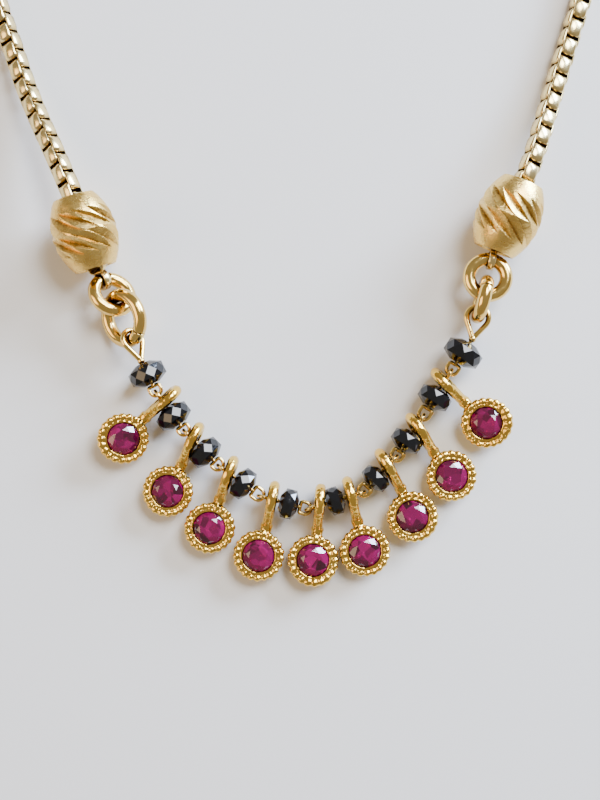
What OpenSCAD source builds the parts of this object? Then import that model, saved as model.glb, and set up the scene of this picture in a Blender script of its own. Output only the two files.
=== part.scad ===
// Mangalsutra: two box chains, jump rings, a string of black beads and nine drops set with a stone.
// It lies loose on a flat surface. X runs to the right, Y from the drops to the clasp, Z up.
// The origin is on that surface, below the middle of the whole piece.

/* [Chain] */
// Side of the square box chain
chain_side = 1.5; // [1.4:0.05:1.55]
// Chamfer along the chain's four edges
chain_chamfer = 0.25; // [0.15:0.05:0.4]
// Width of the strip loop at each chain's lower end
end_loop_w = 0.8; // [0.6:0.05:0.9]
// Thickness of that strip
end_loop_wall = 0.18; // [0.15:0.01:0.2]
// Play between the strip loop and the ring that it holds
end_loop_play = 0.14; // [0.12:0.01:0.16]

/* [Clasp] */
// Diameter of the plain barrel clasp
clasp_d = 3; // [2.6:0.1:3.4]
// Length of the clasp
clasp_len = 9; // [7:0.5:12]
// Depth to which each chain goes into the clasp
clasp_depth = 3; // [2:0.25:3.3]
// Play round the chain in the clasp's bores
clasp_play = 0.12; // [0.05:0.01:0.25]
// Chamfer at the clasp's two ends
clasp_chamfer = 0.3; // [0.1:0.05:0.35]

/* [Gold beads] */
// Largest diameter of a gold barrel bead
gold_bead_d = 5.2; // [5:0.05:5.4]
// Diameter of the barrel at its two ends
gold_bead_end_d = 3.3; // [3.2:0.05:3.6]
// Length of a gold bead
gold_bead_len = 5.9; // [5.5:0.1:6]
// Play round the chain in a gold bead's bore
gold_bead_play = 0.25; // [0.2:0.01:0.28]
// Chamfer at the mouths of that bore
gold_mouth_chamfer = 0.35; // [0.3:0.05:0.4]
// Angle by which a gold bead's lower end dips
gold_bead_dip = 10; // [8:0.5:11]
// Number of slanting cuts in each of the two bands
cut_count = 12; // [8:1:14]
// Depth of each cut at its middle
cut_depth = 0.25; // [0.15:0.05:0.3]
// Radius of the arc that each cut follows round the bead
cut_arc_r = 5.6; // [5:0.2:9]
// Slant of the cuts to the bead's axis
cut_slant = 58; // [50:1:62]
// Half the angle of each cut's sides
cut_edge_angle = 50; // [40:1:52]
// Distance of each band from the bead's middle
cut_band = 1.25; // [1.15:0.05:1.35]

/* [Jump rings] */
// Wire of the four jump rings
ring_wire = 1.06; // [0.95:0.01:1.1]
// Outer diameter of three of the rings
ring_d = 4; // [3.9:0.05:4.3]
// Outer diameter of the lower left ring, which is larger
large_ring_d = 4.8; // [4.6:0.05:5.1]
// Width of the seam where a ring's wire closes
seam_w = 0.06; // [0.03:0.01:0.1]
// Depth of that seam
seam_depth = 0.08; // [0.03:0.01:0.12]
// Slack between one link and the next
link_slack = 0.06; // [0.04:0.01:0.1]

/* [Black beads] */
// Facets round each black bead
bead_facets = 10; // [8:1:12]
// Radius of a bead's end face, as a share of its own radius
bead_face_share = 0.44; // [0.38:0.01:0.5]
// Height at which the facets meet beside the girdle, as a share of the bead's half length
bead_shoulder_share = 0.55; // [0.45:0.01:0.56]
// Play round the wire in each bead's hole
bead_play = 0.05; // [0.03:0.01:0.08]

/* [Bead wires] */
// Wire through the black beads
wire_d = 0.3; // [0.26:0.01:0.32]
// Width of the flat hook loop on one side of a bead
hook_w = 1.22; // [1.2:0.01:1.26]
// Width of the upright eye on the other side
eye_w = 1.22; // [1.18:0.01:1.25]
// Play between an eye and the hook in it
eye_play = 0.1; // [0.08:0.01:0.12]
// Wire of the two large end eyes
end_eye_wire = 0.46; // [0.4:0.01:0.5]
// Width of the large end eyes
end_eye_w = 2.22; // [2.1:0.02:2.4]
// Length of the large end eyes
end_eye_len = 2.87; // [2.7:0.05:3.1]

/* [Drops] */
// Diameter of a setting's wall at its foot
setting_foot_d = 3.1; // [3:0.05:3.2]
// Diameter of that wall at its shoulder
setting_d = 3.4; // [3.3:0.05:3.5]
// Height of the setting's shoulder
shoulder_h = 1.08; // [1.02:0.02:1.14]
// Height of the lip round the stone
lip_h = 1.3; // [1.26:0.02:1.36]
// Outer diameter of that lip
lip_d = 3; // [2.9:0.05:3.1]
// Thickness of the closed back under the stone
back_t = 0.26; // [0.2:0.02:0.3]
// Wire round the setting's foot
foot_wire = 0.3; // [0.24:0.02:0.36]
// Number of gold grains round a stone
grain_count = 21; // [16:1:21]
// Diameter of a plain grain
grain_d = 0.6; // [0.55:0.01:0.62]
// Wire of the long bails
bail_wire = 0.82; // [0.76:0.01:0.84]
// Outer height of a bail's round end
bail_h = 3; // [2.96:0.01:3.06]
// Length of a bail from its foot to its outer top
bail_len = 3.88; // [3.8:0.02:4]
// Distance from a setting's middle to its bail's foot
bail_foot = 2.2; // [2.1:0.02:2.3]
// Diameter of the solder where a bail's wires meet
solder_d = 1; // [0.9:0.02:1.1]
// Play on each side of a bail between its two neighbours
bail_play = 0.06; // [0.04:0.01:0.08]

/* [Stones] */
// Diameter of a stone
stone_d = 2.5; // [2.3:0.05:2.5]
// Diameter across the corners of its table
table_d = 1.5; // [1.3:0.05:1.6]
// Height of the crown above the girdle
crown_h = 0.36; // [0.3:0.02:0.44]
// Depth of the pavilion below the girdle
pavilion_h = 0.84; // [0.7:0.02:0.84]
// Thickness of the girdle
girdle_t = 0.05; // [0.04:0.01:0.08]
// Play round a stone in its lip
stone_play = 0.03; // [0.03:0.01:0.06]

/* [Hidden] */
$fn = 48;
// Air under what lies on the surface
floor_gap = 0.02;

// Chain routes from the gold beads to the clasp, hand-chosen: x, y, height, rings of the tube
// up to the next point, and roll of the square section
CHAIN_RIGHT = [
    [18.55, -65.60, 3.05, 1, -20],
    [19.05, -64.30, 2.80, 2, -20],
    [20.60, -59.75, 1.60, 2, -20],
    [21.65, -56.50, 1.10, 2, -18],
    [23.20, -51.70, 0.88, 1, -12],
    [24.70, -46.90, 0.87, 2, -6],
    [45.05, 18.40, 0.85, 2, 0],
    [48.90, 30.80, 0.80, 4, 0],
    [51.20, 45.90, 0.80, 4, 0],
    [48.10, 63.40, 0.80, 4, 0],
    [39.20, 78.80, 0.80, 4, 0],
    [25.60, 90.25, 0.80, 3, 0],
    [13.25, 95.35, 1.00, 3, 0]
];
CHAIN_LEFT = [
    [-18.60, -65.90, 3.05, 1, 38],
    [-19.35, -64.25, 2.75, 2, 38],
    [-20.85, -61.10, 1.95, 1, 38],
    [-22.05, -58.30, 1.40, 2, 36],
    [-23.20, -55.10, 1.10, 2, 30],
    [-24.80, -50.70, 0.93, 1, 20],
    [-26.30, -46.20, 0.91, 2, 10],
    [-45.30, 18.40, 0.86, 2, 0],
    [-48.90, 30.80, 0.80, 4, 0],
    [-51.20, 45.90, 0.80, 4, 0],
    [-48.10, 63.40, 0.80, 4, 0],
    [-39.20, 78.80, 0.80, 4, 0],
    [-25.60, 90.25, 0.80, 3, 0],
    [-13.25, 95.35, 1.00, 3, 0]
];
clasp_at = [0, 97.3, clasp_d / 2 + floor_gap];

// Gold beads: x, y, direction of the upper end, distance from the lower mouth to the ring's wire
GOLD_BEADS = [
    [-16.85, -70.72, 107.5, 0.9],
    [16.91, -69.42, 67, 0.7]
];
// Rings below each gold bead: outer diameter, direction from what holds it, height of its middle,
// direction of its level diameter, tilt about that, place of its seam
UPPER_RINGS = [
    [ring_d, -58.8, 1.6, -47.4, -36.5, 150],
    [ring_d, -102.6, 2, 0, 0, 78]
];
LOWER_RINGS = [
    [large_ring_d, -63.4, 1.85, -67, 43.2, 35],
    [ring_d, -104.9, 2.03, -104.3, 90, 120]
];
// Large end eyes: direction from the ring to the bead, height of the neck, tilt
END_EYES = [
    [-67.5, 1.8, 42],
    [-104.3, 1.95, 0]
];

// Points where one bead wire hooks into the next, hand-chosen
HOOKS = [
    [-11.10, -83.45, 1.55],
    [-8.80, -86.55, 1.53],
    [-6.05, -89.30, 1.53],
    [-2.80, -91.65, 1.53],
    [0.95, -92.65, 1.53],
    [5.20, -91.35, 1.53],
    [7.85, -88.60, 1.53],
    [10.05, -85.35, 1.53],
    [12.30, -81.75, 1.58]
];
// The bead that has an upright eye on both sides
middle_bead = 5;
// Free wire between the outermost hooks and the beads beside them
first_bead_gap = 0.80;
last_bead_gap = 0.86;
// Black beads from left to right: diameter, length
BLACK_BEADS = [
    [3.05, 1.8],
    [2.9, 1.7],
    [2.75, 1.7],
    [2.6, 1.6],
    [2.45, 1.5],
    [2.3, 1.4],
    [2.4, 1.5],
    [2.6, 1.6],
    [2.75, 1.7],
    [3.2, 1.85]
];
// Drops from left to right: room to spare beside the bail, direction of the bail, turn of the
// setting against it, shift of the bail across its wire, roll, side with the heavier grains and
// how much heavier they are, turn of the stone
DROPS = [
    [0.14, 42.0, 2.0, -0.29, 13, 190, 0.25, 10],
    [0.14, 64.2, -0.9, -0.03, 0, 250, 0.08, 31],
    [0.20, 69.9, 0.7, 0.02, 0, 20, 0.10, 4],
    [0.24, 78.4, -4.0, 0.00, 0, 140, 0.06, 22],
    [0.00, 85.5, -4.3, -0.25, 0, -80, 0.35, 15],
    [0.00, 104.5, -0.6, -0.10, 0, 60, 0.08, 38],
    [0.22, 121.4, -10.3, -0.10, 0, -30, 0.30, 8],
    [0.22, 125.1, 0.6, 0.25, 0, 100, 0.10, 27],
    [0.30, 133.8, 3.3, 0.07, -13, 5, 0.35, 19]
];

function unit(v) = v / norm(v);
function polar(r, a) = [r * cos(a), r * sin(a), 0];
function slope_dir(a, tilt) = [cos(tilt) * cos(a), cos(tilt) * sin(a), sin(tilt)];

// Radius to the corners of the chain's chamfered square
chain_corner_r = norm([chain_side / 2, chain_side / 2 - chain_chamfer]);

// Gold beads
gold_arc_r = (pow(gold_bead_len, 2) + pow(gold_bead_d - gold_bead_end_d, 2)) /
    (4 * (gold_bead_d - gold_bead_end_d));
gold_arc_offset = gold_arc_r - gold_bead_d / 2;
gold_bore_r = chain_corner_r + gold_bead_play;
// Part of a turn that a cut's tool spans, more than the cut itself
cut_sweep = 56;
gold_bead_z = floor_gap + gold_arc_r - gold_arc_offset * cos(gold_bead_dip);
function gold_bead_at(s) = [GOLD_BEADS[s].x, GOLD_BEADS[s].y, gold_bead_z];
function gold_mouth(s, end) =
    gold_bead_at(s) + end * gold_bead_len / 2 * slope_dir(GOLD_BEADS[s][2], gold_bead_dip);

// Rings and end eyes, each placed from what holds it
function wire_r(d) = (d - ring_wire) / 2;
function inner_r(d) = d / 2 - ring_wire;
function flat(p, z) = [p.x, p.y, z];
function upper_ring_at(s) =
    flat(gold_mouth(s, -1), UPPER_RINGS[s][2]) +
    polar(GOLD_BEADS[s][3] + wire_r(UPPER_RINGS[s][0]), UPPER_RINGS[s][1]);
function level_step(reach, rise) = sqrt(reach * reach - rise * rise);
function lower_ring_at(s) =
    flat(upper_ring_at(s), LOWER_RINGS[s][2]) +
    polar(level_step(inner_r(UPPER_RINGS[s][0]) + inner_r(LOWER_RINGS[s][0]) - link_slack,
        LOWER_RINGS[s][2] - UPPER_RINGS[s][2]), LOWER_RINGS[s][1]);
function end_neck(s) =
    flat(lower_ring_at(s), END_EYES[s][1]) +
    polar(inner_r(LOWER_RINGS[s][0]) + end_eye_len - end_eye_wire - link_slack, END_EYES[s][0]);

// A direction in an upper ring's plane, at an angle from its level diameter
function ring_way(s, angle) =
    cos(angle) * slope_dir(UPPER_RINGS[s][3], 0) +
    sin(angle) * slope_dir(UPPER_RINGS[s][3] + 90, UPPER_RINGS[s][4]);
// The ring's wire where the chain's strip loop holds it: its place, its run, and the way
// across it to the bead's mouth
function held_angle(s) = UPPER_RINGS[s][1] + 180 - UPPER_RINGS[s][3];
function held_wire(s) = upper_ring_at(s) + wire_r(UPPER_RINGS[s][0]) * ring_way(s, held_angle(s));
function held_run(s) = ring_way(s, held_angle(s) + 90);
function loop_way(s) =
    let (way = gold_mouth(s, -1) - held_wire(s))
    unit(way - (way * held_run(s)) * held_run(s));
end_loop_r = ring_wire / 2 + end_loop_play;

// A smooth route through points: each tangent weighs the two chords beside its point
function chord(points, i) = points[i + 1] - points[i];
function tangent(points, i) =
    i == 0 ? unit(chord(points, 0)) :
    i == len(points) - 1 ? unit(chord(points, i - 1)) :
    unit(unit(chord(points, i - 1)) * norm(chord(points, i)) +
        unit(chord(points, i)) * norm(chord(points, i - 1)));
function on_route(points, i, t) =
    let (reach = norm(chord(points, i)))
    points[i] * (2 * pow(t, 3) - 3 * t * t + 1) +
    points[i + 1] * (3 * t * t - 2 * pow(t, 3)) +
    tangent(points, i) * reach * (pow(t, 3) - 2 * t * t + t) +
    tangent(points, i + 1) * reach * (pow(t, 3) - t * t);
function place_of(row) = [row[0], row[1], row[2]];

// The whole route of one chain, from its strip loop through the gold bead into the clasp
function chain_rows(s) =
    let (
        side = s == 0 ? -1 : 1,
        rows = s == 0 ? CHAIN_LEFT : CHAIN_RIGHT,
        roll = rows[0][4],
        start = held_wire(s) + (end_loop_r + end_loop_wall / 2) * loop_way(s),
        low = gold_mouth(s, -0.8),
        high = gold_mouth(s, 1),
        mouth = clasp_at + [side * clasp_len / 2, 0, 0],
        last = mouth - [side * clasp_depth, 0, 0]
    )
    concat(
        [concat(start, [1, roll]), concat(low, [1, roll]), concat(high, [1, roll])],
        rows,
        [concat(mouth, [1, 0]), concat(last, [0, 0])]
    );
function chain_stations(rows) = [
    for (i = [0 : len(rows) - 2]) for (k = [0 : rows[i][3] - 1]) [i, k / rows[i][3]],
    [len(rows) - 2, 1]
];
function section_ring(at, ahead, roll) =
    let (
        side = unit(cross(ahead, [0, 0, 1])),
        up = cross(side, ahead),
        flat_half = chain_side / 2 - chain_chamfer
    )
    [
        for (corner = [0 : 3]) for (edge = [-1, 1])
            let (
                turn = corner * 90 + roll,
                u = chain_side / 2 * cos(turn) - edge * flat_half * sin(turn),
                v = chain_side / 2 * sin(turn) + edge * flat_half * cos(turn)
            )
            at + u * side + v * up
    ];

// Turns a child's X axis to run from one point to another
module aim(from, to) {
    way = to - from;
    translate(from)
        rotate([0, -asin(way.z / norm(way)), atan2(way.y, way.x)])
            children();
}

module chain_tube(s) {
    rows = chain_rows(s);
    points = [for (row = rows) place_of(row)];
    stations = chain_stations(rows);
    step = 0.01;
    rings = [
        for (station = stations)
            let (
                i = station[0],
                t = station[1],
                before = on_route(points, i, max(t - step, 0)),
                after = on_route(points, i, min(t + step, 1))
            )
            section_ring(on_route(points, i, t), unit(after - before),
                rows[i][4] + t * (rows[i + 1][4] - rows[i][4]))
    ];
    sides = 8;
    last = len(rings) - 1;
    polyhedron(
        points = [for (ring = rings) each ring],
        faces = [
            [for (k = [sides - 1 : -1 : 0]) k],
            for (r = [0 : last - 1]) for (k = [0 : sides - 1])
                let (a = r * sides + k, b = r * sides + (k + 1) % sides)
                each [[a, b, a + sides], [b, b + sides, a + sides]],
            [for (k = [0 : sides - 1]) last * sides + k]
        ]
    );
}

// Strip loop round the upper ring's wire
module end_loop(s) {
    x = loop_way(s);
    z = held_run(s);
    y = cross(z, x);
    translate(held_wire(s))
        multmatrix([[x.x, y.x, z.x, 0], [x.y, y.y, z.y, 0], [x.z, y.z, z.z, 0], [0, 0, 0, 1]])
            difference() {
                cylinder(r = end_loop_r + end_loop_wall, h = end_loop_w, center = true);
                cylinder(r = end_loop_r, h = 2 * end_loop_w, center = true);
            }
}

module chain(s) {
    color("gold")
        union() {
            chain_tube(s);
            end_loop(s);
        }
}

module clasp() {
    bore_r = chain_corner_r + clasp_play;
    half = clasp_len / 2;
    color("gold")
        translate(clasp_at)
            rotate([0, 90, 0])
                difference() {
                    rotate_extrude()
                        polygon([
                            [0, -half],
                            [clasp_d / 2 - clasp_chamfer, -half],
                            [clasp_d / 2, clasp_chamfer - half],
                            [clasp_d / 2, half - clasp_chamfer],
                            [clasp_d / 2 - clasp_chamfer, half],
                            [0, half]
                        ]);
                    for (end = [-1, 1])
                        translate([0, 0, end * half])
                            cylinder(r = bore_r, h = 2 * (clasp_depth + clasp_play), center = true);
                }
}

module gold_bead(s) {
    half = gold_bead_len / 2;
    band_r = sqrt(pow(gold_arc_r, 2) - cut_band * cut_band) - gold_arc_offset;
    mouth_r = gold_bore_r + gold_mouth_chamfer;
    color("goldenrod")
        translate(gold_bead_at(s))
            rotate([0, 90 - gold_bead_dip, GOLD_BEADS[s][2]])
                difference() {
                    rotate_extrude()
                        intersection() {
                            translate([-gold_arc_offset, 0])
                                circle(r = gold_arc_r);
                            translate([0, -half])
                                square([gold_bead_d, gold_bead_len]);
                        }
                    cylinder(r = gold_bore_r, h = 2 * gold_bead_len, center = true);
                    for (end = [0, 180])
                        rotate([end, 0, 0])
                            translate([0, 0, half - gold_mouth_chamfer])
                                cylinder(r1 = gold_bore_r, r2 = mouth_r + gold_mouth_chamfer,
                                    h = 2 * gold_mouth_chamfer);
                    for (band = [0, 1]) for (i = [0 : cut_count - 1])
                        rotate([0, 0, (i + band / 2) * 360 / cut_count])
                            translate([band_r - cut_depth - cut_arc_r, 0, (2 * band - 1) * cut_band])
                                rotate([90 + cut_slant, 0, 0])
                                    leaf_cut();
                }
}

// Sharp inner edge of a ring: it follows the bead's curve and leaves a leaf-shaped cut
module leaf_cut() {
    reach = 4 * cut_depth;
    half = reach * tan(cut_edge_angle);
    rotate([0, 0, -cut_sweep / 2])
        rotate_extrude(angle = cut_sweep)
            polygon([[cut_arc_r, 0], [cut_arc_r + reach, -half], [cut_arc_r + reach, half]]);
}

module jump_ring(at, row) {
    color("gold")
        translate(at)
            rotate([row[4], 0, row[3]])
                difference() {
                    rotate_extrude()
                        translate([wire_r(row[0]), 0])
                            circle(d = ring_wire);
                    rotate([0, 0, row[5]])
                        translate([wire_r(row[0]), 0, 0])
                            rotate([90, 0, 0])
                                difference() {
                                    cylinder(d = 2 * ring_wire, h = seam_w, center = true);
                                    cylinder(d = ring_wire - 2 * seam_depth, h = 1, center = true);
                                }
                }
}

// Bead wires: which bead has the eye and which the hook at each joint
function eye_bead(j) = j < middle_bead ? j + 1 : j;
function bead_r(b) = BLACK_BEADS[b][0] / 2;
function bead_half(b) = BLACK_BEADS[b][1] / 2;
function slot(j) =
    eye_bead(j) == middle_bead
        ? norm(HOOKS[middle_bead] - HOOKS[middle_bead - 1]) / 2 - bead_half(middle_bead) -
            wire_d - eye_play / 2
        : bail_wire + 2 * bail_play + DROPS[j][0];
function eye_reach(j) = bead_half(eye_bead(j)) + slot(j) + wire_d + eye_play / 2;
last_bead = len(BLACK_BEADS) - 1;
function left_end(b) = b == 0 ? end_neck(0) : HOOKS[b - 1];
function right_end(b) = b == last_bead ? end_neck(1) : HOOKS[b];
function bead_way(b) = unit(right_end(b) - left_end(b));
function bead_at(b) =
    b == 0 ? right_end(b) - bead_way(b) * (bead_half(b) + first_bead_gap) :
    b < middle_bead ? left_end(b) + bead_way(b) * eye_reach(b - 1) :
    b == middle_bead ? (left_end(b) + right_end(b)) / 2 :
    b < last_bead ? right_end(b) - bead_way(b) * eye_reach(b) :
    left_end(b) + bead_way(b) * (bead_half(b) + last_bead_gap);
bead_hole_d = wire_d + 2 * bead_play;

module black_bead(b) {
    n = bead_facets;
    r = bead_r(b);
    half = bead_half(b);
    face_r = bead_face_share * r;
    mid_r = r * cos(180 / n);
    mid_h = bead_shoulder_share * half;
    color("#0B0D15")
        aim(bead_at(b), right_end(b))
            rotate([0, 90, 0])
                difference() {
                    kite_solid([
                        for (level = [[face_r, half, 0], [mid_r, mid_h, 1], [r, 0, 0],
                                [mid_r, -mid_h, 1], [face_r, -half, 0]])
                            [for (i = [0 : n - 1])
                                let (a = (i + level[2] / 2) * 360 / n)
                                [level[0] * cos(a), level[0] * sin(a), level[1]]]
                    ]);
                    cylinder(d = bead_hole_d, h = 4 * half, center = true);
                }
}

// Closed solid through rings of points, each ring turned half a step against the one before
module kite_solid(rings) {
    n = len(rings[0]);
    last = len(rings) - 1;
    polyhedron(
        points = [for (ring = rings) each ring],
        faces = [
            [for (i = [n - 1 : -1 : 0]) i],
            for (r = [0 : last - 1]) for (i = [0 : n - 1])
                let (
                    a = r * n + i,
                    b = r * n + (i + 1) % n,
                    c = a + n,
                    d = b + n
                )
                each r % 2 == 0 ? [[a, b, c], [b, d, c]] : [[a, d, c], [a, b, d]],
            [for (i = [0 : n - 1]) last * n + i]
        ]
    );
}

// Length of plain wire between a bead's face and the parting of its eye
neck_gap = 0.2;
hook_gap = 0.03;
// Size of the solder at a parting, as a share of the wire
solder_share = 1.3;
// Turn of that ball which keeps its seam clear of the wires
seam_turn = 105;
// How much thinner straight wire is than a bend, and how far its ends seat inside the bend
straight_share = 0.97;
bend_seat = 0.03;

// Straight wire along X, whose ends seat inside the bends
module straight_wire(from, to, wire) {
    translate([from - bend_seat, 0, 0])
        rotate([0, 90, 0])
            cylinder(d = straight_share * wire, h = to - from + 2 * bend_seat);
}

// Bend of wire in the XY plane, from angle a1 to a2
module wire_bend(r, a1, a2, wire) {
    rotate([0, 0, a1])
        rotate_extrude(angle = a2 - a1)
            translate([r, 0])
                circle(d = wire);
}

// Teardrop loop of wire in the XY plane: its wires meet at x = 0 and its round end is at x = reach
module wire_teardrop(reach, w, wire) {
    r = (w - wire) / 2;
    middle = reach - wire / 2 - r;
    spread = asin(r / middle);
    translate([middle, 0, 0])
        wire_bend(r, -90 - spread, 90 + spread, wire);
    for (side = [-1, 1])
        rotate([0, 0, side * spread])
            straight_wire(0, middle * cos(spread), wire);
}

// Hook loop in the XY plane: a bar at x = 0 with round corners, and a round end at x = reach
module wire_hook(reach, w, wire) {
    r = (w - wire) / 2;
    corner_r = 0.56 * wire;
    middle = reach - wire / 2 - r;
    translate([middle, 0, 0])
        wire_bend(r, -90, 90, wire);
    for (side = [-1, 1]) {
        translate([0, side * r, 0])
            straight_wire(corner_r, middle, wire);
        translate([corner_r, side * (r - corner_r), 0])
            wire_bend(corner_r, side > 0 ? 90 : 180, side > 0 ? 180 : 270, wire);
    }
    rotate([0, 0, 90])
        straight_wire(corner_r - r, r - corner_r, wire);
}

module bead_eye(b, j) {
    side = j < b ? 180 : 0;
    rotate([0, 0, side])
        translate([bead_half(b) + neck_gap, 0, 0])
            rotate([90, 0, 0]) {
                wire_teardrop(slot(j) + 2 * wire_d + eye_play - neck_gap, eye_w, wire_d);
                rotate([0, 0, seam_turn])
                    sphere(d = solder_share * wire_d);
            }
}

module bead_hook(b, j) {
    side = j < b ? 180 : 0;
    start = bead_half(b) + hook_gap + wire_d / 2;
    reach = norm(HOOKS[j] - bead_at(b)) + wire_d + eye_play / 2 - start;
    rotate([0, 0, side])
        translate([start, 0, 0])
            wire_hook(reach, hook_w, wire_d);
}

module bead_shaft(from, to) {
    translate([from, 0, 0])
        rotate([0, 90, 0])
            cylinder(d = wire_d, h = to - from);
}

module end_eye(s) {
    translate(end_neck(s))
        rotate([END_EYES[s][2], 0, END_EYES[s][0] + 180]) {
            wire_teardrop(end_eye_len, end_eye_w, end_eye_wire);
            rotate([0, 0, seam_turn])
                sphere(d = solder_share * end_eye_wire);
        }
}

module bead_wire(b) {
    hook_end = bead_half(b) + hook_gap + wire_d / 2 + bend_seat;
    eye_end = bead_half(b) + neck_gap;
    color("gold")
        union() {
            aim(bead_at(b), right_end(b)) {
                if (b > 0 && b <= middle_bead)
                    bead_eye(b, b - 1);
                if (b < middle_bead)
                    bead_hook(b, b);
                if (b > middle_bead)
                    bead_hook(b, b - 1);
                if (b >= middle_bead && b < last_bead)
                    bead_eye(b, b);
                bead_shaft(
                    b == 0 ? -norm(end_neck(0) - bead_at(b)) : b > middle_bead ? -hook_end : -eye_end,
                    b == last_bead ? norm(end_neck(1) - bead_at(b)) :
                        b < middle_bead ? hook_end : eye_end);
            }
            if (b == 0)
                end_eye(0);
            if (b == last_bead)
                end_eye(1);
        }
}

// Drops: the bail hangs on the upright eye, near the middle of its slot
bail_r = (bail_h - bail_wire) / 2;
bail_reach = bail_len - bail_h / 2;
// The bail's wires part at its neck, this far from the middle of its round end
bail_neck = 2.2;
bail_slant = 9;
// Stem between a bail's neck and the wall of its setting
stem_d = 0.9;
stem_h = 0.62;
stem_weld = 0.25;
// Distance by which a bail hangs off the middle of its slot, away from the bead
bail_off = 0.02;
// Height of a bail's round end above the foot of its setting
setting_drop = 1.1;
function slot_way(j) = (eye_bead(j) == j ? 1 : -1) * bead_way(eye_bead(j));
function hang_at(j) =
    bead_at(eye_bead(j)) + slot_way(j) * (bead_half(eye_bead(j)) + slot(j) / 2 + bail_off);
function setting_xy(j) =
    [-DROPS[j][3] - bail_reach, 0] - bail_foot * [cos(DROPS[j][2]), sin(DROPS[j][2])];
foot_r = setting_foot_d / 2 + foot_wire / 2;
// Pitch that lets the setting's foot rest on the surface, found by repeated trial
function rest_pitch(j, guess, tries) =
    tries == 0 ? guess :
    let (
        roll = DROPS[j][4],
        middle = setting_xy(j),
        sunk = setting_drop * cos(roll) - middle.y * sin(roll),
        edge = foot_r * norm([sin(guess), sin(roll) * cos(guess)])
    )
    rest_pitch(j, asin((hang_at(j).z - floor_gap - sunk * cos(guess) - edge) / -middle.x),
        tries - 1);

module at_drop(j) {
    translate(hang_at(j))
        rotate([0, 0, DROPS[j][1]])
            rotate([0, -rest_pitch(j, 3, 8), 0])
                rotate([DROPS[j][4], 0, 0])
                    children();
}

module at_setting(j) {
    at_drop(j)
        translate([setting_xy(j).x, setting_xy(j).y, -setting_drop])
            children();
}

stone_r = stone_d / 2;
// Lean of the lip, its height above the girdle, and the flat at the bottom of the seat
lip_taper = 0.05;
lip_over_girdle = 0.08;
seat_bottom_r = 0.25;
// Grains: how far their middles stand out past the shoulder's edge and lie below its top
grain_out = 0.05;
grain_sink = 0.03;
seat_r = stone_r + stone_play;
girdle_z = lip_h - girdle_t - lip_over_girdle;

module setting_cup(j) {
    row = DROPS[j];
    rotate_extrude()
        polygon([
            [0, 0],
            [setting_foot_d / 2, 0],
            [setting_d / 2, 0.7 * shoulder_h],
            [setting_d / 2, shoulder_h],
            [lip_d / 2, shoulder_h],
            [lip_d / 2 - lip_taper, lip_h],
            [seat_r, lip_h],
            [seat_r, girdle_z - stone_play],
            [seat_bottom_r, back_t],
            [0, back_t]
        ]);
    translate([0, 0, foot_wire / 2])
        rotate_extrude()
            translate([setting_foot_d / 2, 0])
                circle(d = foot_wire);
    for (i = [0 : grain_count - 1]) {
        around = i * 360 / grain_count;
        swell = 1 + row[6] * pow(max(0, cos(around + row[1] - row[5])), 3);
        rotate([0, 0, around])
            translate([setting_d / 2 + grain_out, 0, shoulder_h - grain_sink])
                sphere(d = grain_d * swell);
    }
}

module bail(j) {
    parting = [-DROPS[j][3] - bail_neck * cos(bail_slant), 0, -bail_neck * sin(bail_slant)];
    toward = polar(setting_d / 2 - stem_weld, DROPS[j][2]);
    foot = [setting_xy(j).x, setting_xy(j).y, stem_h - setting_drop] + toward;
    translate(parting)
        rotate([90, -bail_slant, 0])
            wire_teardrop(bail_neck + bail_h / 2, bail_h, bail_wire);
    translate(parting)
        sphere(d = solder_d);
    aim(foot, parting)
        rotate([0, 90, 0])
            cylinder(d = stem_d, h = norm(parting - foot));
}

module setting(j) {
    color("goldenrod")
        union() {
            at_setting(j)
                setting_cup(j);
            at_drop(j)
                bail(j);
        }
}

module stone(j) {
    color("#C4126A")
        at_setting(j)
            rotate([0, 0, DROPS[j][7]])
                translate([0, 0, girdle_z])
                    brilliant();
}

// Round brilliant of eight mains: table, stars, kites, girdle and pavilion
module brilliant() {
    kite = cos(22.5);
    star_r = (stone_r + table_d / 2) / 2;
    crown_z = girdle_t + crown_h;
    star_z = girdle_t + crown_h * (stone_r - star_r * kite) / (stone_r - table_d / 2);
    low_r = 0.35 * stone_r;
    low_z = -pavilion_h * (stone_r - low_r * kite) / stone_r;
    function around(r, z, n, shift) =
        [for (i = [0 : n - 1]) [r * cos((i + shift) * 360 / n), r * sin((i + shift) * 360 / n), z]];
    polyhedron(
        points = concat(
            around(table_d / 2, crown_z, 8, 0),
            around(star_r, star_z, 8, 0.5),
            around(stone_r, girdle_t, 16, 0),
            around(stone_r, 0, 16, 0),
            around(low_r, low_z, 8, 0.5),
            [[0, 0, -pavilion_h]]
        ),
        faces = [
            [for (i = [7 : -1 : 0]) i],
            for (i = [0 : 7])
                let (
                    next = (i + 1) % 8,
                    star = 8 + i,
                    star_back = 8 + (i + 7) % 8,
                    main = 16 + 2 * i,
                    half = main + 1,
                    far = 16 + 2 * next,
                    low = 48 + i,
                    low_back = 48 + (i + 7) % 8
                )
                each [
                    [i, next, star],
                    [i, star, main, star_back],
                    [star, half, main],
                    [star, far, half],
                    [main, half, half + 16, main + 16],
                    [half, far, far + 16, half + 16],
                    [main + 16, half + 16, low],
                    [half + 16, far + 16, low],
                    [main + 16, low, 56, low_back]
                ]
        ]
    );
}

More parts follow.
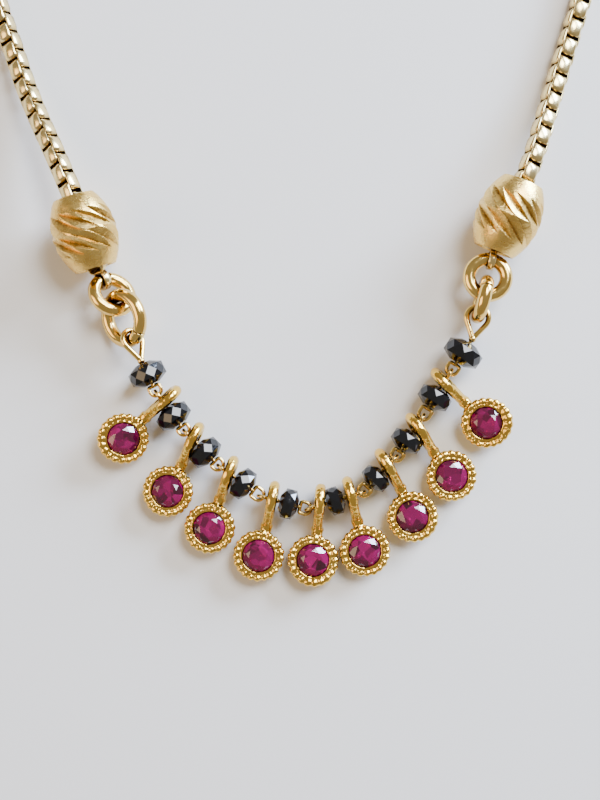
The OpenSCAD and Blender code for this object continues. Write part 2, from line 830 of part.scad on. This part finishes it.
chain(0);  // chain_left
chain(1);  // chain_right
clasp();
gold_bead(0);  // gold_bead_left
gold_bead(1);  // gold_bead_right
jump_ring(upper_ring_at(0), UPPER_RINGS[0]);  // ring_left_upper
jump_ring(upper_ring_at(1), UPPER_RINGS[1]);  // ring_right_upper
jump_ring(lower_ring_at(0), LOWER_RINGS[0]);  // ring_left_lower
jump_ring(lower_ring_at(1), LOWER_RINGS[1]);  // ring_right_lower
for (b = [0 : last_bead]) {
    black_bead(b);
    bead_wire(b);
}
for (j = [0 : len(DROPS) - 1]) {
    setting(j);
    stone(j);
}
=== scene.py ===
"""Looks of the necklace: small chain links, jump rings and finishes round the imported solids."""
import math

import bmesh
import bpy
from mathutils import Matrix, Vector


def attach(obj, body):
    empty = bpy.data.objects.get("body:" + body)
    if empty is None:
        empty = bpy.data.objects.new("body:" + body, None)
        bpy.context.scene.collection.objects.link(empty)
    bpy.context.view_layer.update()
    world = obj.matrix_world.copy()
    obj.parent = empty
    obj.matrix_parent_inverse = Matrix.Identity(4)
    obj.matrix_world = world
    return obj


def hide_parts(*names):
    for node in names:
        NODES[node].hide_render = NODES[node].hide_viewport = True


MM = 0.001
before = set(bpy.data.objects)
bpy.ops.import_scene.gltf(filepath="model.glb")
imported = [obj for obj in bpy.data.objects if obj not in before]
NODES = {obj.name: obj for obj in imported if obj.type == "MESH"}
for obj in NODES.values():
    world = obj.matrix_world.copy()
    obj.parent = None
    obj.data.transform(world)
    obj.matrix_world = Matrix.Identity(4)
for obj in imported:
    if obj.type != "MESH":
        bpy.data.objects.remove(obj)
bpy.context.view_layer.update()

# Chain routes, the same points as the solids: x, y and height in millimetres, and the roll of
# the square section in degrees
ROUTES = {
    "left": [
        (-15.645, -73.624, 1.763, 38), (-16.151, -72.937, 2.247, 38),
        (-17.724, -67.949, 3.17, 38), (-18.6, -65.9, 3.05, 38), (-19.35, -64.25, 2.75, 38),
        (-20.85, -61.1, 1.95, 38), (-22.05, -58.3, 1.4, 36), (-23.2, -55.1, 1.1, 30),
        (-24.8, -50.7, 0.93, 20), (-26.3, -46.2, 0.91, 10), (-45.3, 18.4, 0.86, 0),
        (-48.9, 30.8, 0.8, 0), (-51.2, 45.9, 0.8, 0), (-48.1, 63.4, 0.8, 0),
        (-39.2, 78.8, 0.8, 0), (-25.6, 90.25, 0.8, 0), (-13.25, 95.35, 1, 0),
        (-4.5, 97.3, 1.52, 0), (-1.5, 97.3, 1.52, 0),
    ],
    "right": [
        (15.784, -72.051, 2.154, -20), (16.002, -71.559, 2.247, -20),
        (18.045, -66.746, 3.17, -20), (18.55, -65.6, 3.05, -20), (19.05, -64.3, 2.8, -20),
        (20.6, -59.75, 1.6, -20), (21.65, -56.5, 1.1, -18), (23.2, -51.7, 0.88, -12),
        (24.7, -46.9, 0.87, -6), (45.05, 18.4, 0.85, 0), (48.9, 30.8, 0.8, 0),
        (51.2, 45.9, 0.8, 0), (48.1, 63.4, 0.8, 0), (39.2, 78.8, 0.8, 0), (25.6, 90.25, 0.8, 0),
        (13.25, 95.35, 1, 0), (4.5, 97.3, 1.52, 0), (1.5, 97.3, 1.52, 0),
    ],
}
# Strip loop round each upper ring: its middle in millimetres, the run of the ring's wire there
# and the way to the gold bead
END_LOOPS = {
    "left": ((-15.5521, -74.2991, 1.4272), (-0.7138, -0.3879, 0.5831),
             (-0.1224, 0.8889, 0.4414)),
    "right": ((15.6222, -72.7774, 2.0), (-0.9759, 0.2181, 0.0), (0.2136, 0.9556, 0.2029)),
}
# Jump rings: middle and outer diameter in millimetres, then in degrees the direction of the
# level diameter, the tilt about it and the place of the cut
RINGS = {
    "ring_left_upper": ((-14.7487, -75.5179, 1.6), 4.0, -47.4, -36.5, 150),
    "ring_right_upper": ((15.3015, -74.212, 2.0), 4.0, 0, 0, 78),
    "ring_left_lower": ((-13.761, -77.4903, 1.85), 4.8, -67, 43.2, 35),
    "ring_right_lower": ((14.8336, -75.9705, 2.03), 4.0, -104.3, 90, 120),
}


def linear(hex_code):
    """An sRGB hex colour as linear red, green, blue and alpha."""
    shares = [int(hex_code[i:i + 2], 16) / 255 for i in (1, 3, 5)]
    return [c / 12.92 if c <= 0.04045 else ((c + 0.055) / 1.055) ** 2.4 for c in shares] + [1]


def node(tree, kind, settings={}, inputs={}):
    """A new shader node. Inputs are given by name or number, as a value or a socket to link."""
    made = tree.nodes.new(kind)
    for key, value in settings.items():
        setattr(made, key, value)
    for key, value in inputs.items():
        if isinstance(value, bpy.types.NodeSocket):
            tree.links.new(value, made.inputs[key])
        else:
            made.inputs[key].default_value = value
    return made


def new_material(name):
    """A material with its node tree and its shader."""
    material = bpy.data.materials.new(name)
    material.use_nodes = True
    return material, material.node_tree, material.node_tree.nodes["Principled BSDF"]


# A Mix node's colour sockets by number, because its other sockets carry the same names
MIX_SHARE, MIX_FIRST, MIX_SECOND, MIXED = 0, 6, 7, 2
# Middle part of a noise pattern, which a finish spreads between its two limits
NOISE_SPREAD = {"From Min": 0.3, "From Max": 0.7}
# Grain of the gold plate in millimetres: colour patches, rubbed spots, hairlines, and how far
# a groove shuts its own walls in
PATCH_MM = 1.6
RUBBED_MM = 0.5
HAIRLINE_MM = 0.7
GROOVE_MM = 0.7
HAIRLINE_TURN = (0.3, 0.5, 0.7)
HAIRLINE_STRETCH = (1, 9, 9)
# Painted shade in the grooves and seams: its colour, and the open share of sky below which it is
# thick and above which there is none
CREVICE_SHADE = "#6E4410"
OPEN_SHARES = {"From Min": 0.3, "From Max": 0.92}


def gold_plate(name, pale, deep, polish, wave_mm, wave_depth_mm, hairline_depth_mm):
    """Gold plate over brass: a warm mirror, broken by faint waves and by hairlines from wear.
    Where it is shut in, its colour is darkened by painted shade, so grooves and seams read dark."""
    material, tree, shader = new_material(name)
    place = node(tree, "ShaderNodeTexCoord").outputs["Object"]
    patches = node(tree, "ShaderNodeTexNoise", {}, {"Vector": place, "Scale": 1 / (PATCH_MM * MM)})
    tint = node(tree, "ShaderNodeMix", {"data_type": "RGBA"},
                {MIX_SHARE: patches.outputs[0], MIX_FIRST: linear(pale),
                 MIX_SECOND: linear(deep)})
    # Painted shade: the colour turns dark brown where the surface is shut in by nearby parts
    shut_in = node(tree, "ShaderNodeAmbientOcclusion", {"samples": 6},
                   {"Distance": GROOVE_MM * MM})
    unshaded_share = node(tree, "ShaderNodeMapRange", {}, {"Value": shut_in.outputs["AO"], **OPEN_SHARES})
    painted_crevice_shade = node(tree, "ShaderNodeMix", {"data_type": "RGBA"},
                  {MIX_SHARE: unshaded_share.outputs[0], MIX_FIRST: linear(CREVICE_SHADE),
                   MIX_SECOND: tint.outputs[MIXED]})
    rubbed = node(tree, "ShaderNodeTexNoise", {},
                  {"Vector": place, "Scale": 1 / (RUBBED_MM * MM), "Detail": 4})
    matt = node(tree, "ShaderNodeMapRange", {},
                {"Value": rubbed.outputs[0], **NOISE_SPREAD, "To Min": polish[0],
                 "To Max": polish[1]})
    waves = node(tree, "ShaderNodeTexNoise", {}, {"Vector": place, "Scale": 1 / (wave_mm * MM)})
    waved = node(tree, "ShaderNodeBump", {},
                 {"Distance": wave_depth_mm * MM, "Height": waves.outputs[0]})
    drawn = node(tree, "ShaderNodeMapping", {},
                 {"Vector": place, "Rotation": HAIRLINE_TURN, "Scale": HAIRLINE_STRETCH})
    hairlines = node(tree, "ShaderNodeTexNoise", {},
                     {"Vector": drawn.outputs[0], "Scale": 1 / (HAIRLINE_MM * MM), "Detail": 3})
    scratched = node(tree, "ShaderNodeBump", {},
                     {"Distance": hairline_depth_mm * MM, "Height": hairlines.outputs[0],
                      "Normal": waved.outputs[0]})
    tree.links.new(painted_crevice_shade.outputs[MIXED], shader.inputs["Base Color"])
    tree.links.new(matt.outputs[0], shader.inputs["Roughness"])
    tree.links.new(scratched.outputs[0], shader.inputs["Normal"])
    shader.inputs["Metallic"].default_value = 1
    return material


# Smears on the black glass and the depth of its waves, in millimetres, and its roughness
SMEAR_MM = 0.8
GLASS_WAVE_DEPTH_MM = 0.008
GLASS_ROUGHNESS = {"To Min": 0.02, "To Max": 0.09}


def black_glass():
    """Opaque black pressed glass: flat fire-polished facets, so a sharp dark mirror."""
    material, tree, shader = new_material("black_pressed_glass")
    place = node(tree, "ShaderNodeTexCoord").outputs["Object"]
    smears = node(tree, "ShaderNodeTexNoise", {}, {"Vector": place, "Scale": 1 / (SMEAR_MM * MM)})
    matt = node(tree, "ShaderNodeMapRange", {},
                {"Value": smears.outputs[0], **NOISE_SPREAD, **GLASS_ROUGHNESS})
    waved = node(tree, "ShaderNodeBump", {},
                 {"Distance": GLASS_WAVE_DEPTH_MM * MM, "Height": smears.outputs[0]})
    tree.links.new(matt.outputs[0], shader.inputs["Roughness"])
    tree.links.new(waved.outputs[0], shader.inputs["Normal"])
    shader.inputs["Base Color"].default_value = linear("#07090E")
    shader.inputs["IOR"].default_value = 1.6
    return material


# Width of one facet seen through a stone, and the darkest and brightest red of its painted
# reflections
BACK_FACET_MM = 0.62
DARK_RUBY = "#3E001E"
BRIGHT_RUBY = "#B8006C"


def ruby():
    """Foil-backed ruby: magenta cells of painted reflection stand for the facets behind it, under
    a hard bright skin.
    """
    material, tree, shader = new_material("ruby_corundum")
    place = node(tree, "ShaderNodeTexCoord").outputs["Object"]
    cells = node(tree, "ShaderNodeTexVoronoi", {},
                 {"Vector": place, "Scale": 1 / (BACK_FACET_MM * MM)})
    tone = node(tree, "ShaderNodeSeparateColor", {}, {"Color": cells.outputs["Color"]})
    # Painted reflection: bright and dark red cells stand for light thrown back by the facets
    # behind
    painted_facet_reflections = node(tree, "ShaderNodeMix", {"data_type": "RGBA"},
                {MIX_SHARE: tone.outputs["Red"], MIX_FIRST: linear(DARK_RUBY),
                 MIX_SECOND: linear(BRIGHT_RUBY)})
    tree.links.new(painted_facet_reflections.outputs[MIXED], shader.inputs["Base Color"])
    shader.inputs["Transmission Weight"].default_value = 0.55
    shader.inputs["IOR"].default_value = 1.76
    shader.inputs["Roughness"].default_value = 0.02
    return material


# Gold: pale and deep colour, roughness, then width and depth of the waves and depth of the
# hairlines in millimetres. The chain is palest, the wire smoothest, the beads grainiest, and
# the cast settings deepest in colour.
CHAIN_GOLD = gold_plate("chain_gold_plate", "#FBE9AE", "#EBCB80", (0.16, 0.3), 0.6, 0.01, 0.002)
BEAD_GOLD = gold_plate("cut_gold_plate", "#FADC88", "#EAB958", (0.18, 0.36), 0.4, 0.03, 0.02)
WIRE_GOLD = gold_plate("drawn_gold_plate", "#F9DB88", "#E8BA5C", (0.1, 0.2), 0.9, 0.02, 0.003)
SETTING_GOLD = gold_plate("cast_gold_plate", "#FAD66C", "#E6B044", (0.1, 0.24), 0.35, 0.03, 0.003)
BLACK_GLASS = black_glass()
RUBY = ruby()


# Edges sharper than this stay crisp
CRISP_DEGREES = 48


def new_piece(name, mesh_made, material, stands_for):
    """A piece from a bmesh in millimetres, riding on the one body in place of a solid."""
    mesh = bpy.data.meshes.new(name)
    bmesh.ops.scale(mesh_made, vec=(MM, MM, MM), verts=mesh_made.verts)
    bmesh.ops.recalc_face_normals(mesh_made, faces=mesh_made.faces)
    mesh_made.to_mesh(mesh)
    mesh_made.free()
    mesh.shade_smooth()
    mesh.set_sharp_from_angle(angle=math.radians(CRISP_DEGREES))
    mesh.materials.append(material)
    made = bpy.data.objects.new(name, mesh)
    bpy.context.scene.collection.objects.link(made)
    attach(made, "root")
    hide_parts(stands_for)


# Chain links and end loops, in millimetres. A strip is its thickness, its width and the
# softening of its outer rims.
LINK_PITCH = 0.845
LINK_LENGTH = 1.52
CHAIN_SIDE = 1.5
LINK_BEND = 0.34
LINK_STRIP = (0.17, 1.12, 0.1)
END_LOOP_OUTER = 0.85
END_LOOP_STRIP = (0.18, 0.56, 0.05)
END_LOOP_SIDES = 32
# Samples between two points of a route, and how many of them set a link's direction
ROUTE_STEPS = 60
HEADING_STEPS = 6


def strip_loop(corners, bend, strip):
    """A closed loop of bent strip as a mesh, its hole along Z, its corners rounded to a bend."""
    thickness, width, rim = strip
    made = bmesh.new()
    outline = [made.verts.new((x, y, -width / 2)) for x, y in corners]
    for before, after in zip(outline, outline[1:] + outline[:1]):
        made.edges.new((before, after))
    if bend:
        bmesh.ops.bevel(made, geom=outline, offset=bend, segments=2, affect="VERTICES",
                        profile=0.5, material=-1)
    raised = bmesh.ops.extrude_edge_only(made, edges=made.edges[:])
    bmesh.ops.translate(made, vec=(0, 0, width),
                        verts=[v for v in raised["geom"] if isinstance(v, bmesh.types.BMVert)])
    bmesh.ops.recalc_face_normals(made, faces=made.faces)
    outside = set(made.verts)
    bmesh.ops.solidify(made, geom=made.faces[:], thickness=thickness)
    rims = [e for e in made.edges if outside.issuperset(e.verts) and
            abs(e.verts[0].co.z - e.verts[1].co.z) < width / 2]
    bmesh.ops.bevel(made, geom=rims, offset=rim, segments=1, affect="EDGES", profile=0.5,
                    material=-1)
    mesh = bpy.data.meshes.new("strip_loop")
    made.to_mesh(mesh)
    made.free()
    return mesh


def add_copy(target, mesh, place):
    """Adds a mesh to a bmesh, moved by a matrix."""
    start = len(target.verts)
    target.from_mesh(mesh)
    target.verts.ensure_lookup_table()
    bmesh.ops.transform(target, matrix=place, verts=target.verts[start:])


def axes_matrix(x, y, z, origin):
    """A matrix with these columns."""
    made = Matrix.Identity(4)
    for column, axis in enumerate((x, y, z, origin)):
        for row in range(3):
            made[row][column] = axis[row]
    return made


def smooth_route(rows, steps):
    """Points with roll along a smooth curve through the rows, the same curve as in the solids."""
    points = [Vector(row[:3]) for row in rows]
    chords = [after - before for before, after in zip(points, points[1:])]
    tangents = [chords[0].normalized()]
    for before, after in zip(chords, chords[1:]):
        tangents.append((before.normalized() * after.length +
                         after.normalized() * before.length).normalized())
    tangents.append(chords[-1].normalized())
    made = []
    for i, chord in enumerate(chords):
        for k in range(steps):
            t = k / steps
            place = (points[i] * (2 * t ** 3 - 3 * t * t + 1) +
                     points[i + 1] * (3 * t * t - 2 * t ** 3) +
                     tangents[i] * chord.length * (t ** 3 - 2 * t * t + t) +
                     tangents[i + 1] * chord.length * (t ** 3 - t * t))
            made.append((place, rows[i][3] + t * (rows[i + 1][3] - rows[i][3])))
    made.append((points[-1], rows[-1][3]))
    return made


def box_chain(side):
    """Square links of bent strip along the route, each turned a quarter against the last."""
    samples = smooth_route(ROUTES[side], ROUTE_STEPS)
    lengths = [0.0]
    for before, after in zip(samples, samples[1:]):
        lengths.append(lengths[-1] + (after[0] - before[0]).length)
    count = round((lengths[-1] - LINK_LENGTH) / LINK_PITCH)
    pitch = (lengths[-1] - LINK_LENGTH) / count
    half_x, half_y = LINK_LENGTH / 2, CHAIN_SIDE / 2
    link = strip_loop([(-half_x, -half_y), (half_x, -half_y), (half_x, half_y),
                       (-half_x, half_y)], LINK_BEND, LINK_STRIP)
    made = bmesh.new()
    at = 0
    for k in range(count + 1):
        distance = LINK_LENGTH / 2 + k * pitch
        while at < len(lengths) - 2 and lengths[at + 1] < distance:
            at += 1
        share = (distance - lengths[at]) / (lengths[at + 1] - lengths[at])
        place = samples[at][0].lerp(samples[at + 1][0], share)
        roll = samples[at][1] + share * (samples[at + 1][1] - samples[at][1])
        ahead = (samples[min(at + 1 + HEADING_STEPS, len(samples) - 1)][0] -
                 samples[max(at - HEADING_STEPS, 0)][0]).normalized()
        level = ahead.cross(Vector((0, 0, 1))).normalized()
        turn = math.radians(roll + 90 * (k % 2))
        across = math.cos(turn) * level + math.sin(turn) * level.cross(ahead)
        add_copy(made, link, axes_matrix(ahead, across, ahead.cross(across), place))
    middle, run, way = (Vector(v) for v in END_LOOPS[side])
    turns = [2 * math.pi * i / END_LOOP_SIDES for i in range(END_LOOP_SIDES)]
    ring = [(END_LOOP_OUTER * math.cos(turn), END_LOOP_OUTER * math.sin(turn)) for turn in turns]
    add_copy(made, strip_loop(ring, 0, END_LOOP_STRIP),
             axes_matrix(way, run.cross(way), run, middle))
    new_piece("box_chain_" + side, made, CHAIN_GOLD, "chain_" + side)


# Jump ring wire, the gap between its cut ends and their rounding, in millimetres
RING_WIRE = 1.06
RING_CUT = 0.06
CUT_ROUNDING = 0.06
WIRE_SIDES = 28
RING_SIDES = 96


def jump_ring(name):
    """Round wire bent to a ring, with its cut ends a hair apart."""
    middle, outer, level, tilt, seam = RINGS[name]
    bend = (outer - RING_WIRE) / 2
    cut_turn = RING_CUT / bend
    made = bmesh.new()
    bmesh.ops.create_circle(made, cap_ends=False, segments=WIRE_SIDES, radius=RING_WIRE / 2)
    to_seam = (Matrix.Rotation(math.radians(seam) + cut_turn / 2, 4, "Z") @
               Matrix.Translation((bend, 0, 0)) @ Matrix.Rotation(math.pi / 2, 4, "X"))
    bmesh.ops.transform(made, matrix=to_seam, verts=made.verts)
    bmesh.ops.spin(made, geom=made.verts[:] + made.edges[:], cent=(0, 0, 0), axis=(0, 0, 1),
                   angle=2 * math.pi - cut_turn, steps=RING_SIDES, use_duplicate=False)
    ends = [e for e in made.edges if e.is_boundary]
    bmesh.ops.holes_fill(made, edges=ends)
    bmesh.ops.bevel(made, geom=ends, offset=CUT_ROUNDING, segments=2, affect="EDGES", profile=0.5,
                    material=-1)
    place = (Matrix.Translation(middle) @ Matrix.Rotation(math.radians(level), 4, "Z") @
             Matrix.Rotation(math.radians(tilt), 4, "X"))
    bmesh.ops.transform(made, matrix=place, verts=made.verts)
    new_piece(name + "_wire", made, WIRE_GOLD, name)


for side in ROUTES:
    box_chain(side)
for name in RINGS:
    jump_ring(name)

FINISHES = {"clasp": WIRE_GOLD, "gold_bead": BEAD_GOLD, "black_bead": BLACK_GLASS,
            "bead_wire": WIRE_GOLD, "setting": SETTING_GOLD, "stone": RUBY}
# Skin of the cast settings, in millimetres: size and height of its dimples, and the mesh size
DIMPLE_MM = 0.3
DIMPLE_HEIGHT_MM = 0.07
CAST_MESH_MM = 0.07
CAST_SKIN = bpy.data.textures.new("cast_skin", "CLOUDS")
CAST_SKIN.noise_scale = DIMPLE_MM * MM


def soften_cast(solid):
    """Rounds a cast setting as plating and wear do, so its grains and solder run together."""
    melted = solid.modifiers.new("melted", "REMESH")
    melted.mode = "VOXEL"
    melted.voxel_size = CAST_MESH_MM * MM
    melted.use_smooth_shade = True
    worn = solid.modifiers.new("worn", "SMOOTH")
    worn.iterations = 3
    uneven = solid.modifiers.new("uneven", "DISPLACE")
    uneven.texture = CAST_SKIN
    uneven.strength = DIMPLE_HEIGHT_MM * MM


for name, solid in NODES.items():
    for start, material in FINISHES.items():
        if name.startswith(start):
            for slot in solid.material_slots:
                slot.material = material
    if name.startswith("setting"):
        soften_cast(solid)


# Middle of the drops, in millimetres
DROPS = (0, -84, 0)


def area_light(name, place, size, power, colour):
    """A soft box that faces the drops. Place and size are in millimetres, power in watts."""
    lamp = bpy.data.lights.new(name, "AREA")
    lamp.shape = "RECTANGLE"
    lamp.size, lamp.size_y = size[0] * MM, size[1] * MM
    lamp.energy = power
    lamp.color = linear(colour)[:3]
    made = bpy.data.objects.new(name, lamp)
    bpy.context.scene.collection.objects.link(made)
    made.location = Vector(place) * MM
    made.rotation_euler = (Vector(DROPS) * MM - made.location).to_track_quat("-Z", "Y").to_euler()


# A cool window to the right, a broad soft box above it and a weak warm fill to the left
area_light("window_light", (330, 200, 140), (250, 150), 9.0, "#C8DEFF")
area_light("sky_light", (180, 120, 360), (220, 180), 2.6, "#F4F8FF")
area_light("warm_fill", (-330, -120, 260), (260, 260), 0.9, "#FFDDB0")

world = bpy.data.worlds.new("studio")
world.use_nodes = True
bpy.context.scene.world = world
walls = world.node_tree.nodes["Background"]
walls.inputs["Color"].default_value = linear("#DCD2C2")
walls.inputs["Strength"].default_value = 0.5

# The paper reaches this far each way, in metres
FLOOR_REACH = 1.5
floor_mesh = bpy.data.meshes.new("floor")
floor_made = bmesh.new()
bmesh.ops.create_grid(floor_made, x_segments=1, y_segments=1, size=FLOOR_REACH)
floor_made.to_mesh(floor_mesh)
floor_made.free()
floor = bpy.data.objects.new("floor", floor_mesh)
bpy.context.scene.collection.objects.link(floor)
floor_material, _, floor_shader = new_material("matte_studio_paper")
floor_shader.inputs["Base Color"].default_value = linear("#E6E3DF")
floor_shader.inputs["Roughness"].default_value = 0.8
floor_mesh.materials.append(floor_material)

# The photographer's place and the point looked at, in millimetres
CAMERA_AT = (0.3, -92.716, 101.119)
LOOKED_AT = (0.3, -84.0, 1.5)
camera_data = bpy.data.cameras.new("camera")
camera_data.sensor_fit = "AUTO"
camera_data.sensor_width = 36
camera_data.lens = 56.52
camera_data.clip_start = 0.005
camera_data.clip_end = 20
camera = bpy.data.objects.new("camera", camera_data)
bpy.context.scene.collection.objects.link(camera)
camera.location = Vector(CAMERA_AT) * MM
camera.rotation_euler = (Vector(LOOKED_AT) * MM -
                         camera.location).to_track_quat("-Z", "Y").to_euler()
bpy.context.scene.camera = camera
